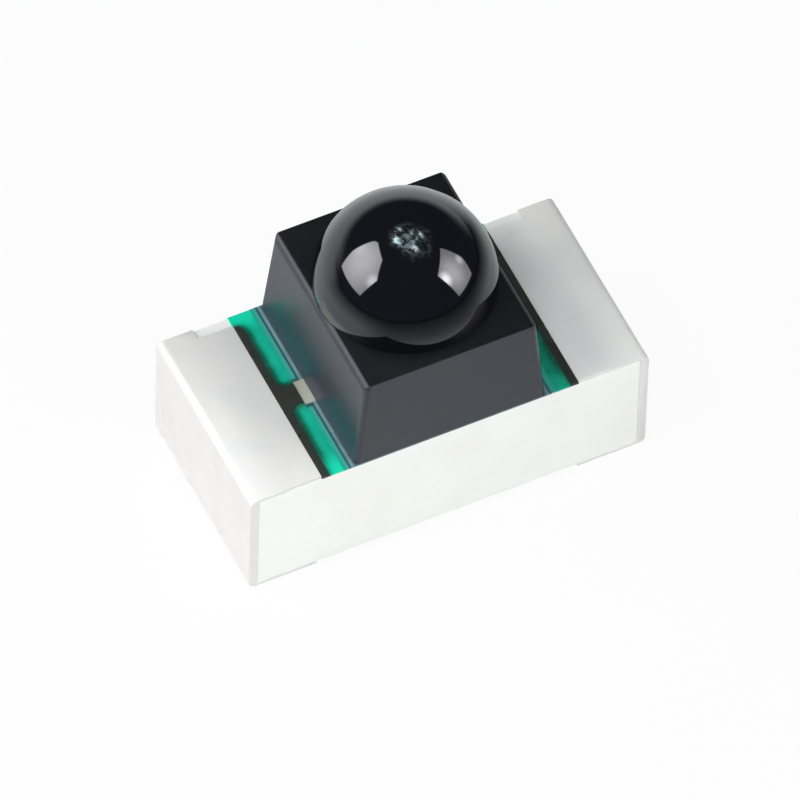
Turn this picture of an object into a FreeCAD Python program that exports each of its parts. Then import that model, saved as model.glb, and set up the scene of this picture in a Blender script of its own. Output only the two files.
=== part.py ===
import FreeCAD, Part
import itertools
import math
import os

import Sketcher

# Surface-mount infrared phototransistor in a chip package with a dome lens.
# Millimetres. X runs along the package, Y across it, Z up from the solder pads.
# The origin is in the middle of the underside. The collector is at -X.

os.makedirs("parts", exist_ok=True)
doc = FreeCAD.newDocument("phototransistor")
sheet = doc.addObject("Spreadsheet::Sheet", "Sizes")
rows = itertools.count(1)
collectorSide = -1
emitterSide = 1
tiny = 1e-5
fullTurn = 360


class Size:
    # A length that knows both its formula in the sheet's names and its present value.
    def __init__(self, formula, value):
        self.formula = formula
        self.value = value

    def joined(self, sign, other, value):
        return Size(f"({self.formula} {sign} {other.formula})", value)

    def __add__(self, other):
        other = asSize(other)
        return self.joined("+", other, self.value + other.value)

    def __sub__(self, other):
        other = asSize(other)
        return self.joined("-", other, self.value - other.value)

    def __mul__(self, other):
        other = asSize(other)
        return self.joined("*", other, self.value * other.value)

    def __truediv__(self, other):
        other = asSize(other)
        return self.joined("/", other, self.value / other.value)

    def __neg__(self):
        return self * -1


def asSize(number):
    return number if isinstance(number, Size) else Size(f"({number})", number)


def smaller(first, second):
    # The shorter of two lengths.
    return Size(f"min({first.formula}; {second.formula})", min(first.value, second.value))


def size(alias, value, meaning):
    # One driving dimension: its name, its number and what it measures.
    row = next(rows)
    sheet.set(f"A{row}", alias)
    sheet.set(f"B{row}", str(value))
    sheet.set(f"C{row}", meaning)
    sheet.setAlias(f"B{row}", alias)
    return Size(f"Sizes.{alias}", value)


# Package and board
overallLength = size("overall_length", 3.2, "package length over the end plates")
overallWidth = size("overall_width", 1.6, "package width between the sawn faces")
laminateThickness = size("laminate_thickness", 0.98, "bare laminate")

# Plated copper
landThickness = size("land_thickness", 0.025, "plated lands above and below the laminate")
endPlateThickness = size("end_plate_thickness", 0.07, "plating over the laminate's ends")
plateEdgeRound = size("plate_edge_round", 0.06, "rounding of the end plates' outer edges")
solderPadLength = size("solder_pad_length", 0.55, "solder pads underneath, from the end")
outerLandLength = size("outer_land_length", 0.29, "full-width part of each top land")
frontInset = size("front_inset", 0.01, "inner land to the front sawn face")
backInset = size("back_inset", 0.09, "inner land to the back sawn face")
foilThickness = size("foil_thickness", 0.015, "copper that is not built up by plating")
maskedFoilLength = size("masked_foil_length", 0.08, "strip of copper under the solder mask")
neckWidth = size("neck_width", 0.22, "trace from each land to the middle")
neckRound = size("neck_round", 0.06, "rounding where the trace meets the strip")
diePadMargin = size("die_pad_margin", 0.055, "copper pad beyond the adhesive all round")
padGap = size("pad_gap", 0.12, "bare laminate between die pad and bond land")
bondLandLength = size("bond_land_length", 0.22, "land that the wire is stitched to")
bondLandWidth = size("bond_land_width", 0.34, "width of that land")

# Solder mask
maskThickness = size("mask_thickness", 0.022, "solder mask over bare laminate")
bareMaskLength = size("bare_mask_length", 0.095, "mask over bare laminate, along the package")
markThickness = size("mark_thickness", 0.015, "polarity mark underneath")
markStroke = size("mark_stroke", 0.16, "stroke width of the polarity mark")
markBarLength = size("mark_bar_length", 0.8, "cross bar of the mark")
markStemLength = size("mark_stem_length", 0.4, "stem of the mark")

# Moulded epoxy
footLength = size("mould_foot_length", 1.54, "moulded block at its foot")
endDraft = size("end_draft", 0.085, "how far each end face leans in over its height")
sideDraft = size("side_draft", 0.0275, "how far the front and back faces lean in")
mouldHeight = size("mould_height", 0.865, "block above the laminate")
topEdgeRound = size("mould_edge_round", 0.03, "rounding of the block's two upper end edges")
domeInset = size("dome_inset", 0.005, "dome lens to the nearer edges of the block's top")
flashReach = size("flash_reach", 0.085, "thin flash beyond the block's foot")
flashThickness = size("flash_thickness", 0.012, "thickness of that flash")

# Die and wire
dieSize = size("die_size", 0.45, "square silicon die")
dieThickness = size("die_thickness", 0.18, "silicon die")
attachMargin = size("attach_margin", 0.03, "conductive adhesive beyond the die all round")
attachThickness = size("attach_thickness", 0.02, "adhesive under the die")
wireRadius = size("wire_radius", 0.0125, "gold wire")
ballRadius = size("ball_radius", 0.04, "ball bond's radius")
ballHeight = size("ball_height", 0.03, "ball bond's height")
bondPadMargin = size("bond_pad_margin", 0.015, "metal pad on the die beyond the ball")
bondPadThickness = size("bond_pad_thickness", 0.01, "metal pad on the die")
bondPadInset = size("bond_pad_inset", 0.04, "metal pad to the die's edge")
ballRound = size("ball_round", 0.01, "rounded rim of the ball bond")
wireRise = size("wire_rise", 0.13, "straight rise of the wire above the die")
wireBend = size("wire_bend", 0.05, "bend radius of the wire")
stitchLength = size("stitch_length", 0.07, "stitch bond along the wire")
stitchWidth = size("stitch_width", 0.06, "stitch bond across the wire")
stitchThickness = size("stitch_thickness", 0.014, "flattened stitch bond")
doc.recompute()

# Levels and edges that several pieces share
laminateTop = landThickness + laminateThickness
packageTop = laminateTop + landThickness
maskEdge = footLength / 2 + flashReach
foilEdge = maskEdge + bareMaskLength
landEdge = foilEdge + maskedFoilLength
landLow = frontInset - overallWidth / 2
landHigh = overallWidth / 2 - backInset
neckCentre = (landLow + landHigh) / 2
topLength = footLength - endDraft * 2
topWidth = overallWidth - sideDraft * 2
domeRadius = smaller(topLength, topWidth) / 2 - domeInset
attachSize = dieSize + attachMargin * 2
diePadHalf = attachSize / 2 + diePadMargin
bondLandEdge = diePadHalf + padGap
bondPadSize = (ballRadius + bondPadMargin) * 2
bondPadPlace = dieSize / 2 - bondPadInset - bondPadSize / 2
dieStack = attachThickness + dieThickness + bondPadThickness


def bind(item, prop, length):
    item.setExpression(prop, length.formula)


def newBody(label, lift=None, shift=None):
    # A sub-part's body, raised and moved along X by lengths from the sheet.
    body = doc.addObject("PartDesign::Body", label)
    body.Label = label
    if lift is not None:
        bind(body, "Placement.Base.z", lift)
    if shift is not None:
        bind(body, "Placement.Base.x", shift)
    return body


def newSketch(body, name, role="XY_Plane", lift=None):
    # A sketch on one of the body's own origin planes.
    sketch = body.newObject("Sketcher::SketchObject", name)
    plane = next(item for item in body.Origin.OriginFeatures if item.Role == role)
    sketch.AttachmentSupport = [(plane, "")]
    sketch.MapMode = "FlatFace"
    if lift is not None:
        bind(sketch, "AttachmentOffset.Base.z", lift)
    return sketch


def pin(sketch, geometry, point, place):
    # Ties one point of a sketch to lengths from the sheet.
    for kind, length in zip(("DistanceX", "DistanceY"), place):
        index = sketch.addConstraint(Sketcher.Constraint(kind, -1, 1, geometry, point, length.value))
        bind(sketch, f"Constraints[{index}]", length)


def vector(place):
    return FreeCAD.Vector(place[0].value, place[1].value, 0)


def drawOutline(sketch, corners):
    # A closed outline of straight lines through the corners.
    count = len(corners)
    for index, corner in enumerate(corners):
        sketch.addGeometry(Part.LineSegment(vector(corner), vector(corners[(index + 1) % count])))
    for index, corner in enumerate(corners):
        sketch.addConstraint(Sketcher.Constraint("Coincident", index, 2, (index + 1) % count, 1))
        pin(sketch, index, 1, corner)
    return sketch


def rectangle(lowX, highX, lowY, highY):
    return [(lowX, lowY), (highX, lowY), (highX, highY), (lowX, highY)]


def centredSquare(length, width):
    return rectangle(-length / 2, length / 2, -width / 2, width / 2)


def drawCircle(sketch, radius):
    # A circle round the sketch's origin.
    sketch.addGeometry(Part.Circle(FreeCAD.Vector(), FreeCAD.Vector(0, 0, 1), radius.value))
    sketch.addConstraint(Sketcher.Constraint("Coincident", 0, 3, -1, 1))
    index = sketch.addConstraint(Sketcher.Constraint("Radius", 0, radius.value))
    bind(sketch, f"Constraints[{index}]", radius)
    return sketch


def addPad(body, name, sketch, length, bothWays=False):
    pad = body.newObject("PartDesign::Pad", name)
    pad.Profile = sketch
    bind(pad, "Length", length)
    if bothWays:
        pad.SideType = "Symmetric"
    doc.recompute()
    return pad


def addFillet(body, name, base, radius, wanted):
    # Rounds the edges of the base feature whose middle passes the test.
    fillet = body.newObject("PartDesign::Fillet", name)
    names = []
    for number, edge in enumerate(base.Shape.Edges, start=1):
        if wanted(edge.CenterOfMass, edge):
            names.append(f"Edge{number}")
    fillet.Base = (base, names)
    bind(fillet, "Radius", radius)
    doc.recompute()
    return fillet


def near(first, second):
    return abs(first - second) < tiny


def runsAlong(edge, axis):
    # Whether an edge is a straight line along one axis, given as 0, 1 or 2.
    if not isinstance(edge.Curve, Part.Line):
        return False
    return near(abs(edge.Curve.Direction[axis]), 1)


def cutAway(base, tool, name):
    cut = doc.addObject("Part::Cut", name)
    cut.Base = base
    cut.Tool = tool
    doc.recompute()
    return cut


def makeSubstrate():
    body = newBody("substrate", lift=landThickness)
    sketch = newSketch(body, "laminatePlan")
    drawOutline(sketch, centredSquare(overallLength - endPlateThickness * 2, overallWidth))
    addPad(body, "laminateBlock", sketch, laminateThickness)
    return body


def makeTerminal(label, side, padNear, padFar, padHalfWidth):
    # Solder pad, end plate and outer land in one wrap, then the inner land and the foil
    # that runs under the solder mask, through the neck, to the pad in the middle.
    body = newBody(label)
    end = overallLength / 2 * side
    plateInside = (overallLength / 2 - endPlateThickness) * side
    outerLandEdge = (overallLength / 2 - outerLandLength) * side
    solderPadEdge = (overallLength / 2 - solderPadLength) * side
    ground = asSize(0)

    wrap = newSketch(body, f"{label}Wrap", role="XZ_Plane")
    drawOutline(wrap, [
        (end, ground),
        (solderPadEdge, ground),
        (solderPadEdge, landThickness),
        (plateInside, landThickness),
        (plateInside, laminateTop),
        (outerLandEdge, laminateTop),
        (outerLandEdge, packageTop),
        (end, packageTop),
    ])
    wrapPad = addPad(body, f"{label}WrapPad", wrap, overallWidth, bothWays=True)
    rounded = addFillet(
        body, f"{label}EndRound", wrapPad, plateEdgeRound,
        lambda middle, edge: near(middle.x, end.value) and runsAlong(edge, 1),
    )

    land = newSketch(body, f"{label}Land", lift=laminateTop)
    drawOutline(land, rectangle(outerLandEdge, landEdge * side, landLow, landHigh))
    addPad(body, f"{label}LandPad", land, landThickness)

    foil = newSketch(body, f"{label}Foil", lift=laminateTop)
    neckLow = neckCentre - neckWidth / 2
    neckHigh = neckCentre + neckWidth / 2
    drawOutline(foil, [
        (landEdge * side, landLow),
        (foilEdge * side, landLow),
        (foilEdge * side, neckLow),
        (padNear, neckLow),
        (padNear, -padHalfWidth),
        (padFar, -padHalfWidth),
        (padFar, padHalfWidth),
        (padNear, padHalfWidth),
        (padNear, neckHigh),
        (foilEdge * side, neckHigh),
        (foilEdge * side, landHigh),
        (landEdge * side, landHigh),
    ])
    foilPad = addPad(body, f"{label}FoilPad", foil, foilThickness)
    addFillet(
        body, f"{label}NeckRound", foilPad, neckRound,
        lambda middle, edge: near(middle.x, (foilEdge * side).value) and runsAlong(edge, 2)
        and abs(middle.y - neckCentre.value) < neckWidth.value,
    )
    return body


def makeSolderMask(label, side, terminal):
    # A film over the bare laminate, hollowed where it covers the copper.
    film = doc.addObject("Part::Box", f"{label}Film")
    bind(film, "Length", landEdge - maskEdge)
    bind(film, "Width", overallWidth)
    bind(film, "Height", maskThickness)
    bind(film, "Placement.Base.x", maskEdge if side > 0 else -landEdge)
    bind(film, "Placement.Base.y", -overallWidth / 2)
    bind(film, "Placement.Base.z", laminateTop)
    mask = cutAway(film, terminal, label)
    mask.Label = label
    return mask


def makePolarityMark():
    # A T under the laminate whose bar lies towards the emitter.
    body = newBody("polarity_mark", lift=landThickness - markThickness)
    sketch = newSketch(body, "markPlan")
    barNear = markStemLength / 2
    barFar = barNear + markStroke
    drawOutline(sketch, [
        (-markStemLength / 2, -markStroke / 2),
        (barNear, -markStroke / 2),
        (barNear, -markBarLength / 2),
        (barFar, -markBarLength / 2),
        (barFar, markBarLength / 2),
        (barNear, markBarLength / 2),
        (barNear, markStroke / 2),
        (-markStemLength / 2, markStroke / 2),
    ])
    addPad(body, "markPad", sketch, markThickness)
    return body


def makeDieAttach():
    body = newBody("die_attach", lift=laminateTop + foilThickness)
    sketch = newSketch(body, "attachPlan")
    drawOutline(sketch, centredSquare(attachSize, attachSize))
    addPad(body, "attachPad", sketch, attachThickness)
    return body


def makeDie():
    body = newBody("phototransistor_die", lift=laminateTop + foilThickness + attachThickness)
    sketch = newSketch(body, "diePlan")
    drawOutline(sketch, centredSquare(dieSize, dieSize))
    addPad(body, "dieBlock", sketch, dieThickness)
    pad = newSketch(body, "bondPadPlan", lift=dieThickness)
    half = bondPadSize / 2
    drawOutline(pad, rectangle(bondPadPlace - half, bondPadPlace + half, -half, half))
    addPad(body, "bondPad", pad, bondPadThickness)
    return body


def drawWirePath(sketch, span):
    # Up from the ball, over, down the slope and level along the bond land.
    radius = wireBend.value
    start = (asSize(0), ballHeight / 2)
    riseEnd = (asSize(0), wireRise)
    level = wireRadius - dieStack
    tailStart = (span - stitchLength / 2, level)
    tailEnd = (span + stitchLength / 2, level)
    topCentre = FreeCAD.Vector(radius, wireRise.value, 0)
    footCentre = FreeCAD.Vector(tailStart[0].value, level.value + radius, 0)
    apart = footCentre - topCentre
    slope = math.atan2(apart.y, apart.x) - math.asin(2 * radius / apart.Length)
    leftward = FreeCAD.Vector(-math.sin(slope), math.cos(slope), 0)
    axis = FreeCAD.Vector(0, 0, 1)
    quarter = math.pi / 2

    rise = sketch.addGeometry(Part.LineSegment(vector(start), vector(riseEnd)))
    topCircle = Part.Circle(topCentre, axis, radius)
    top = sketch.addGeometry(Part.ArcOfCircle(topCircle, slope + quarter, math.pi))
    fall = sketch.addGeometry(
        Part.LineSegment(topCentre + leftward * radius, footCentre - leftward * radius)
    )
    footCircle = Part.Circle(footCentre, axis, radius)
    foot = sketch.addGeometry(Part.ArcOfCircle(footCircle, slope - quarter, -quarter))
    tail = sketch.addGeometry(Part.LineSegment(vector(tailStart), vector(tailEnd)))

    pin(sketch, rise, 1, start)
    pin(sketch, rise, 2, riseEnd)
    pin(sketch, tail, 1, tailStart)
    pin(sketch, tail, 2, tailEnd)
    sketch.addConstraint(Sketcher.Constraint("Tangent", rise, 2, top, 2))
    sketch.addConstraint(Sketcher.Constraint("Tangent", top, 1, fall, 1))
    sketch.addConstraint(Sketcher.Constraint("Tangent", fall, 2, foot, 1))
    sketch.addConstraint(Sketcher.Constraint("Tangent", foot, 2, tail, 1))
    for arc in (top, foot):
        index = sketch.addConstraint(Sketcher.Constraint("Radius", arc, radius))
        bind(sketch, f"Constraints[{index}]", wireBend)
    return sketch


def makeWire():
    # One gold wire: ball bond on the die, loop, and stitch bond on the emitter's land.
    body = newBody("bond_wire", lift=laminateTop + foilThickness + dieStack, shift=bondPadPlace)
    span = bondLandEdge + bondLandLength / 2 - bondPadPlace
    ball = addPad(body, "ball", drawCircle(newSketch(body, "ballPlan"), ballRadius), ballHeight)
    addFillet(
        body, "ballRim", ball, ballRound,
        lambda middle, edge: isinstance(edge.Curve, Part.Circle),
    )
    path = drawWirePath(newSketch(body, "wirePath", role="XZ_Plane"), span)
    section = drawCircle(newSketch(body, "wireSection", lift=ballHeight / 2), wireRadius)
    doc.recompute()
    pipe = body.newObject("PartDesign::AdditivePipe", "wireLoop")
    pipe.Profile = section
    pipe.Spine = path
    doc.recompute()
    stitch = newSketch(body, "stitchPlan", lift=-dieStack)
    lowX = span - stitchLength / 2
    drawOutline(stitch, rectangle(lowX, lowX + stitchLength, -stitchWidth / 2, stitchWidth / 2))
    addPad(body, "stitch", stitch, stitchThickness)
    return body


def makeMoulding():
    # Block with drafted sides, dome lens on its top and flash along its foot.
    body = newBody("moulding", lift=laminateTop)
    block = body.newObject("PartDesign::AdditiveWedge", "mouldBlock")
    plane = next(item for item in body.Origin.OriginFeatures if item.Role == "XY_Plane")
    block.AttachmentSupport = [(plane, "")]
    block.MapMode = "FlatFace"
    upright = FreeCAD.Rotation(FreeCAD.Vector(1, 0, 0), 90)
    block.AttachmentOffset = FreeCAD.Placement(FreeCAD.Vector(), upright)
    block.Ymin = 0
    bind(block, "Ymax", mouldHeight)
    for low, high, width in (
        ("Xmin", "Xmax", footLength), ("X2min", "X2max", topLength),
        ("Zmin", "Zmax", overallWidth), ("Z2min", "Z2max", topWidth),
    ):
        bind(block, low, -width / 2)
        bind(block, high, width / 2)
    doc.recompute()
    addFillet(
        body, "mouldEdges", block, topEdgeRound,
        lambda middle, edge: runsAlong(edge, 1) and near(middle.z, mouldHeight.value),
    )

    half = newSketch(body, "domeProfile", role="XZ_Plane")
    centre = (asSize(0), mouldHeight)
    pole = (asSize(0), mouldHeight + domeRadius)
    under = (asSize(0), mouldHeight - domeRadius)
    circle = Part.Circle(vector(centre), FreeCAD.Vector(0, 0, 1), domeRadius.value)
    arc = half.addGeometry(Part.ArcOfCircle(circle, -math.pi / 2, math.pi / 2))
    spine = half.addGeometry(Part.LineSegment(vector(pole), vector(under)))
    pin(half, arc, 3, centre)
    half.addConstraint(Sketcher.Constraint("Coincident", arc, 2, spine, 1))
    half.addConstraint(Sketcher.Constraint("Coincident", arc, 1, spine, 2))
    half.addConstraint(Sketcher.Constraint("PointOnObject", spine, 1, -2))
    half.addConstraint(Sketcher.Constraint("PointOnObject", spine, 2, -2))
    index = half.addConstraint(Sketcher.Constraint("Radius", arc, domeRadius.value))
    bind(half, f"Constraints[{index}]", domeRadius)
    doc.recompute()
    dome = body.newObject("PartDesign::Revolution", "dome")
    dome.Profile = half
    dome.ReferenceAxis = (half, ["V_Axis"])
    dome.Angle = fullTurn
    doc.recompute()

    flash = newSketch(body, "flashPlan")
    drawOutline(flash, centredSquare(maskEdge * 2, overallWidth))
    addPad(body, "flash", flash, flashThickness)
    return body


substrate = makeSubstrate()
collectorTerminal = makeTerminal(
    "collector_terminal", collectorSide,
    diePadHalf * collectorSide, diePadHalf * emitterSide, diePadHalf,
)
emitterTerminal = makeTerminal(
    "emitter_terminal", emitterSide,
    bondLandEdge + bondLandLength, bondLandEdge, bondLandWidth / 2,
)
collectorMask = makeSolderMask("collector_solder_mask", collectorSide, collectorTerminal)
emitterMask = makeSolderMask("emitter_solder_mask", emitterSide, emitterTerminal)
polarityMark = makePolarityMark()
dieAttach = makeDieAttach()
die = makeDie()
bondWire = makeWire()

# The epoxy is moulded round everything that stands on the laminate inside it.
lensBody = makeMoulding()
for index, inside in enumerate([collectorTerminal, emitterTerminal, dieAttach, die, bondWire]):
    lensBody = cutAway(lensBody, inside, f"mouldedRound{index + 1}")
lensBody.Label = "lens_body"

subParts = [
    substrate, collectorTerminal, emitterTerminal, collectorMask, emitterMask,
    polarityMark, dieAttach, die, bondWire, lensBody,
]
doc.recompute()
for item in doc.Objects:
    if "Invalid" in item.State or "Error" in item.State:
        raise RuntimeError(f"{item.Label} did not build: {item.State}")
for item in subParts:
    shape = item.Shape
    if shape.isNull() or not shape.isValid() or len(shape.Solids) != 1:
        raise RuntimeError(f"{item.Label} is not one valid solid")
    shape.exportStep(f"parts/{item.Label}.step")
    box = shape.BoundBox
    print(
        f"{item.Label}: {shape.Volume:.5f} mm3,"
        f" x {box.XMin:.3f} to {box.XMax:.3f},"
        f" y {box.YMin:.3f} to {box.YMax:.3f},"
        f" z {box.ZMin:.3f} to {box.ZMax:.3f}"
    )
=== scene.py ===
# Chip phototransistor with a dome lens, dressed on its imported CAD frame.
# Shapes are modelled in millimetres and brought to metres when a piece is finished.
import bpy
import bmesh
import math
from mathutils import Matrix, Vector


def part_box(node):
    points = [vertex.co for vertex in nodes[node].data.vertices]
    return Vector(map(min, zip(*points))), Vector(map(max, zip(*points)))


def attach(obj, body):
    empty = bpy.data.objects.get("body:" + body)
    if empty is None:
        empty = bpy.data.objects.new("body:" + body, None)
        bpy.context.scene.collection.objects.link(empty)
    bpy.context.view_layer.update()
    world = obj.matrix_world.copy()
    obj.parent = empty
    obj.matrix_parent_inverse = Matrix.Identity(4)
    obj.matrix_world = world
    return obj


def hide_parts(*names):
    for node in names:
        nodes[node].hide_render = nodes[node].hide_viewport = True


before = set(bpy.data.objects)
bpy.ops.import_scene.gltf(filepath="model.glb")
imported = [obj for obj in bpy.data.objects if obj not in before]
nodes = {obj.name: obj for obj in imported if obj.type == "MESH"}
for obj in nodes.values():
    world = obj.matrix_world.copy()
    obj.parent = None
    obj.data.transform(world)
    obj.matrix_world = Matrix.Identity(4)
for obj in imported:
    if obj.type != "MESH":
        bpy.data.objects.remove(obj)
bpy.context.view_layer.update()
scene = bpy.context.scene
quarterTurn = math.pi / 2
fullTurn = math.pi * 2


def inMillimetres(node):
    low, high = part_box(node)
    return low * 1000, high * 1000


# Corners of the solids, and the heights and edges that several pieces share.
boardLow, boardHigh = inMillimetres("substrate")
maskLow, maskHigh = inMillimetres("emitter_solder_mask")
emitterLow, emitterHigh = inMillimetres("emitter_terminal")
collectorHigh = inMillimetres("collector_terminal")[1]
mouldHigh = inMillimetres("lens_body")[1]
dieHigh = inMillimetres("phototransistor_die")[1]
laminateTop = boardHigh.z
packageTop = emitterHigh.z
packageEnd = emitterHigh.x
halfWidth = boardHigh.y
print("frame loaded:", ", ".join(sorted(nodes)))


class Signal:
    # A shader socket that takes part in arithmetic.
    def __init__(self, paint, socket):
        self.paint = paint
        self.socket = socket

    def maths(self, operation, first, second=None):
        values = {0: first}
        if second is not None:
            values[1] = second
        return self.paint.add("ShaderNodeMath", {"operation": operation}, values)

    def __add__(self, other):
        return self.maths("ADD", self, other)

    def __radd__(self, other):
        return self.maths("ADD", other, self)

    def __sub__(self, other):
        return self.maths("SUBTRACT", self, other)

    def __rsub__(self, other):
        return self.maths("SUBTRACT", other, self)

    def __mul__(self, other):
        return self.maths("MULTIPLY", self, other)

    def __rmul__(self, other):
        return self.maths("MULTIPLY", other, self)

    def __truediv__(self, other):
        return self.maths("DIVIDE", self, other)

    def __rtruediv__(self, other):
        return self.maths("DIVIDE", other, self)

    def __abs__(self):
        return self.maths("ABSOLUTE", self)

    def atLeast(self, other):
        return self.maths("MAXIMUM", self, other)

    def atMost(self, other):
        return self.maths("MINIMUM", self, other)

    def root(self):
        return self.maths("SQRT", self)


class Paint:
    # The node tree of one material, lamp or world.
    def __init__(self, owner):
        owner.use_nodes = True
        self.tree = owner.node_tree
        self.tree.nodes.clear()

    def add(self, kind, settings=None, sockets=None, out=0):
        node = self.tree.nodes.new(kind)
        for name, value in (settings or {}).items():
            setattr(node, name, value)
        for name, value in (sockets or {}).items():
            if isinstance(value, Signal):
                self.tree.links.new(value.socket, node.inputs[name])
            else:
                node.inputs[name].default_value = value
        return Signal(self, node.outputs[out]) if node.outputs else None

    def millimetres(self, stretch=(1, 1, 1), turn=(0, 0, 0)):
        # Object coordinates in millimetres, turned and stretched.
        place = self.add("ShaderNodeTexCoord", out="Object")
        return self.add("ShaderNodeMapping", {"vector_type": "POINT"}, {
            "Vector": place, "Rotation": turn, "Scale": [1000 * part for part in stretch],
        })

    def axis(self, vector, name):
        return self.add("ShaderNodeSeparateXYZ", None, {0: vector}, name)

    def noise(self, place, size, detail=2, roughness=0.5, distortion=0):
        # The size is that of one patch or grain, in the units of the place.
        return self.add("ShaderNodeTexNoise", {"noise_dimensions": "3D"}, {
            "Vector": place, "Scale": 1 / size, "Detail": detail,
            "Roughness": roughness, "Distortion": distortion,
        })

    def wave(self, place, along, scale, distortion, detail, detailScale):
        return self.add("ShaderNodeTexWave", {"bands_direction": along}, {
            "Vector": place, "Scale": scale, "Distortion": distortion,
            "Detail": detail, "Detail Scale": detailScale,
        }, "Fac")

    def step(self, value, low, high, start=0, end=1):
        # Smooth step of a value between two limits.
        return self.add("ShaderNodeMapRange", {"interpolation_type": "SMOOTHSTEP"}, {
            "Value": value, "From Min": low, "From Max": high, "To Min": start, "To Max": end,
        })

    def patches(self, cloud):
        # A cloudy noise made into soft patches.
        return self.step(cloud, 0.35, 0.7)

    def spread(self, grain, start, end):
        # The middle of a noise's range, spread between two values.
        return self.step(grain, 0.3, 0.7, start, end)

    def blend(self, share, first, second):
        # Colour mix; the colours may be tuples or signals.
        first, second = [
            colour if isinstance(colour, Signal) else (*colour, 1) for colour in (first, second)
        ]
        return self.add("ShaderNodeMix", {"data_type": "RGBA"}, {
            0: share, 6: first, 7: second,
        }, 2)

    def bump(self, height, strength, depth):
        return self.add("ShaderNodeBump", None, {
            "Height": height, "Strength": strength, "Distance": depth / 1000,
        })

    def ray(self, kind):
        return self.add("ShaderNodeLightPath", out=kind)

    def shader(self, sockets):
        return self.add("ShaderNodeBsdfPrincipled", None, sockets)

    def mixShaders(self, share, first, second):
        return self.add("ShaderNodeMixShader", None, {0: share, 1: first, 2: second})

    def surface(self, shader, output="ShaderNodeOutputMaterial"):
        self.add(output, None, {"Surface": shader})


def tone(red, green, blue):
    # A colour given as screen values, made linear.
    return tuple(
        part / 12.92 if part <= 0.04045 else ((part + 0.055) / 1.055) ** 2.4
        for part in (red / 255, green / 255, blue / 255)
    )


def newPiece(shape, name, replaced, material, sharpAngle=38):
    # Cleans the mesh, brings it to metres, shades it and fastens it to the frame.
    bmesh.ops.remove_doubles(shape, verts=shape.verts, dist=0.00002)
    bmesh.ops.recalc_face_normals(shape, faces=shape.faces)
    bmesh.ops.scale(shape, vec=(0.001, 0.001, 0.001), verts=shape.verts)
    mesh = bpy.data.meshes.new(name)
    shape.to_mesh(mesh)
    shape.free()
    mesh.shade_smooth()
    mesh.set_sharp_from_angle(angle=math.radians(sharpAngle))
    mesh.materials.append(material)
    piece = bpy.data.objects.new(name, mesh)
    scene.collection.objects.link(piece)
    evenNormals = piece.modifiers.new("evenNormals", "WEIGHTED_NORMAL")
    evenNormals.keep_sharp = True
    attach(piece, "root")
    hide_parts(replaced)
    print("made", name, len(mesh.polygons), "faces")


def dress(node, material):
    # A node that keeps its own solid gets a finished material.
    mesh = nodes[node].data
    mesh.materials.clear()
    mesh.materials.append(material)
    print("painted", node)


def cuboid(size, centre):
    shape = bmesh.new()
    bmesh.ops.create_cube(shape, size=1)
    bmesh.ops.scale(shape, vec=size, verts=shape.verts)
    bmesh.ops.translate(shape, vec=centre, verts=shape.verts)
    return shape


def extrudeOutline(shape, corners, along):
    # A flat outline of a few corners, pushed into a solid.
    face = shape.faces.new([shape.verts.new(corner) for corner in corners])
    pushed = bmesh.ops.extrude_face_region(shape, geom=[face], use_keep_orig=True)
    moved = [part for part in pushed["geom"] if isinstance(part, bmesh.types.BMVert)]
    bmesh.ops.translate(shape, vec=along, verts=moved)
    bmesh.ops.recalc_face_normals(shape, faces=shape.faces)


def roundEdges(shape, edges, width, steps):
    bmesh.ops.bevel(
        shape, geom=list(edges), offset=width, offset_type="OFFSET", segments=steps,
        profile=0.5, affect="EDGES", material=-1, clamp_overlap=True,
    )


def unite(shape, tool):
    # Exact union of two closed shapes.
    parts = []
    for part in (shape, tool):
        bmesh.ops.recalc_face_normals(part, faces=part.faces)
        mesh = bpy.data.meshes.new("part")
        part.to_mesh(mesh)
        part.free()
        parts.append(bpy.data.objects.new("part", mesh))
        scene.collection.objects.link(parts[-1])
    union = parts[0].modifiers.new("union", "BOOLEAN")
    union.operation = "UNION"
    union.solver = "EXACT"
    union.object = parts[1]
    joined = bmesh.new()
    joined.from_object(parts[0], bpy.context.evaluated_depsgraph_get())
    for part in parts:
        mesh = part.data
        bpy.data.objects.remove(part)
        bpy.data.meshes.remove(mesh)
    return joined


def near(first, second):
    # Equal to within a thousandth of a millimetre.
    return abs(first - second) < 0.001


def middle(part):
    return sum((vert.co for vert in part.verts), Vector()) / len(part.verts)


def runsAlong(edge, axis):
    direction = (edge.verts[1].co - edge.verts[0].co).normalized()
    return abs(getattr(direction, axis)) > 0.9


def sharpEdges(shape, degrees=30):
    return [
        edge for edge in shape.edges
        if len(edge.link_faces) == 2 and edge.calc_face_angle(0) > math.radians(degrees)
    ]


laminate = {
    "edgeRound": 0.008,         # mm
    "bright": tone(246, 247, 243),
    "cream": tone(243, 242, 232),
    "creamRange": (0.42, 0.68),
    "creamShare": 0.6,
    "resin": tone(239, 242, 236),
    "resinShare": 0.35,
    "bundles": (1.9, 1.4, 2, 2.5),  # glass cloth: scale, distortion, detail, detail scale
    "plies": (2.6, 0.8, 1, 1.5),
    "cloud": (0.5, 3, 0.55),    # noises: size in mm, detail, roughness
    "grain": (0.022, 2, 0.6),
    "saw": (0.016, 2, 0.6),
    "sawStretch": (0.12, 1, 1),
    "sawnDepth": (0.02, 0.004),  # mm from the side, where saw lines start and are full
    "roughness": (0.42, 0.56),
    "relief": (0.25, 0.004),    # strength, and depth in mm
}


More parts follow.
